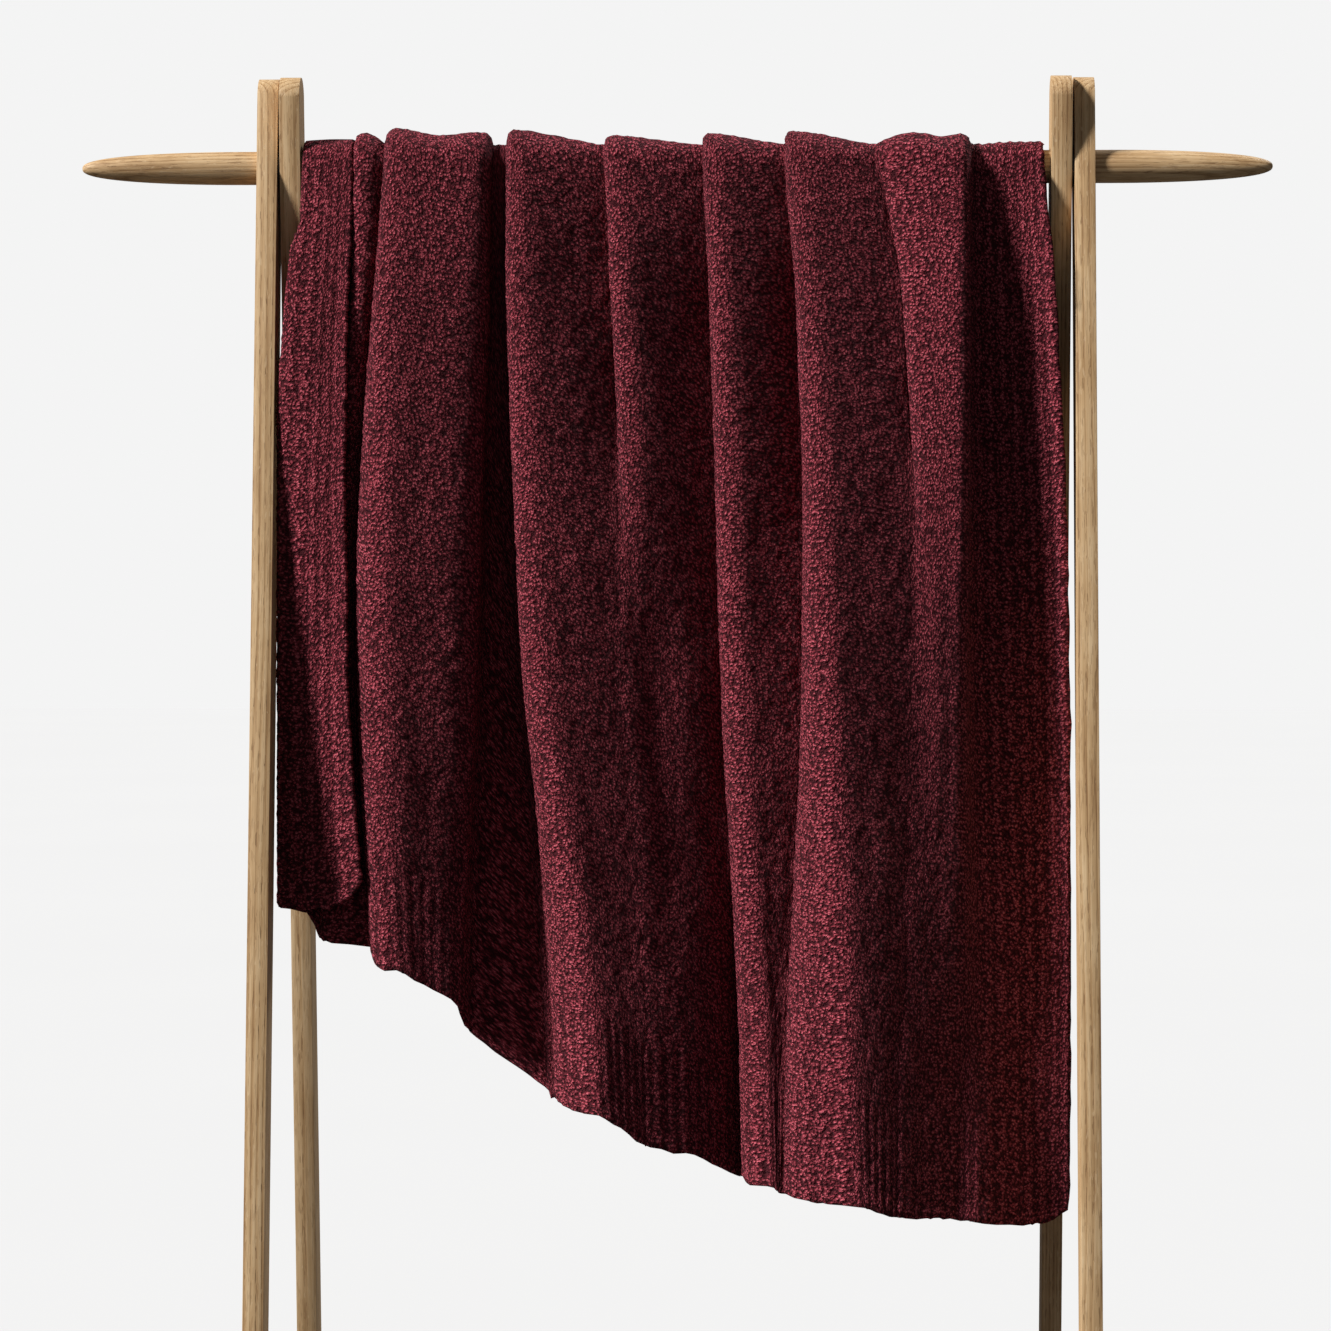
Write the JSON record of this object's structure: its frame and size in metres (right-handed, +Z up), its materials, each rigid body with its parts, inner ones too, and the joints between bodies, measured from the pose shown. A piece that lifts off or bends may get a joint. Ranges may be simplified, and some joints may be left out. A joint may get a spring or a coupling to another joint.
{
  "type": "quilt on a rack",
  "caption": "Chunky knitted quilt hung in folds over the round tapered bar of a folding oak rack with crossed legs.",
  "frame": {"origin": "on the floor, below the middle of the bar", "axes": "+X along the bar to the right as seen from the front, -Y to the front, +Z up"},
  "size_m": [1.188, 0.3812, 1.4995],
  "materials": {
    "oak": "oiled, satin",
    "brass": "satin",
    "felt": "matt felt",
    "nylon": "matt",
    "knit": "looped chenille knit"
  },
  "bodies": {
    "bar": {"crossbar": "oak", "left_pivot_washer": "nylon", "right_pivot_washer": "nylon"},
    "left_front": {"left_front_leg": "oak", "left_front_stop_screw": "brass", "left_front_foot_pad": "felt"},
    "left_rear": {"left_rear_leg": "oak", "left_rear_stop_screw": "brass", "left_rear_foot_pad": "felt"},
    "right_rear": {"right_rear_leg": "oak", "right_rear_stop_screw": "brass", "right_rear_foot_pad": "felt"},
    "right_front": {"right_front_leg": "oak", "right_front_stop_screw": "brass", "right_front_foot_pad": "felt"},
    "throw": {"quilt": "knit"}
  },
  "joints": [
    {"name": "left_front_fold", "type": "hinge", "parent": "bar", "child": "left_front", "pos_m": [-0.40635, 0, 1.41], "axis": [1, 0, 0], "range_deg": [0, 6.8]},
    {"name": "left_rear_fold", "type": "hinge", "parent": "bar", "child": "left_rear", "pos_m": [-0.38325, 0, 1.41], "axis": [-1, 0, 0], "range_deg": [0, 6.8]},
    {"name": "right_rear_fold", "type": "hinge", "parent": "bar", "child": "right_rear", "pos_m": [0.38325, 0, 1.41], "axis": [-1, 0, 0], "range_deg": [0, 6.8]},
    {"name": "right_front_fold", "type": "hinge", "parent": "bar", "child": "right_front", "pos_m": [0.40635, 0, 1.41], "axis": [1, 0, 0], "range_deg": [0, 6.8]},
    {"name": "quilt_lift", "type": "slide", "parent": "bar", "child": "throw", "axis": [0, 0, 1], "range_m": [0, 1.1]}
  ]
}
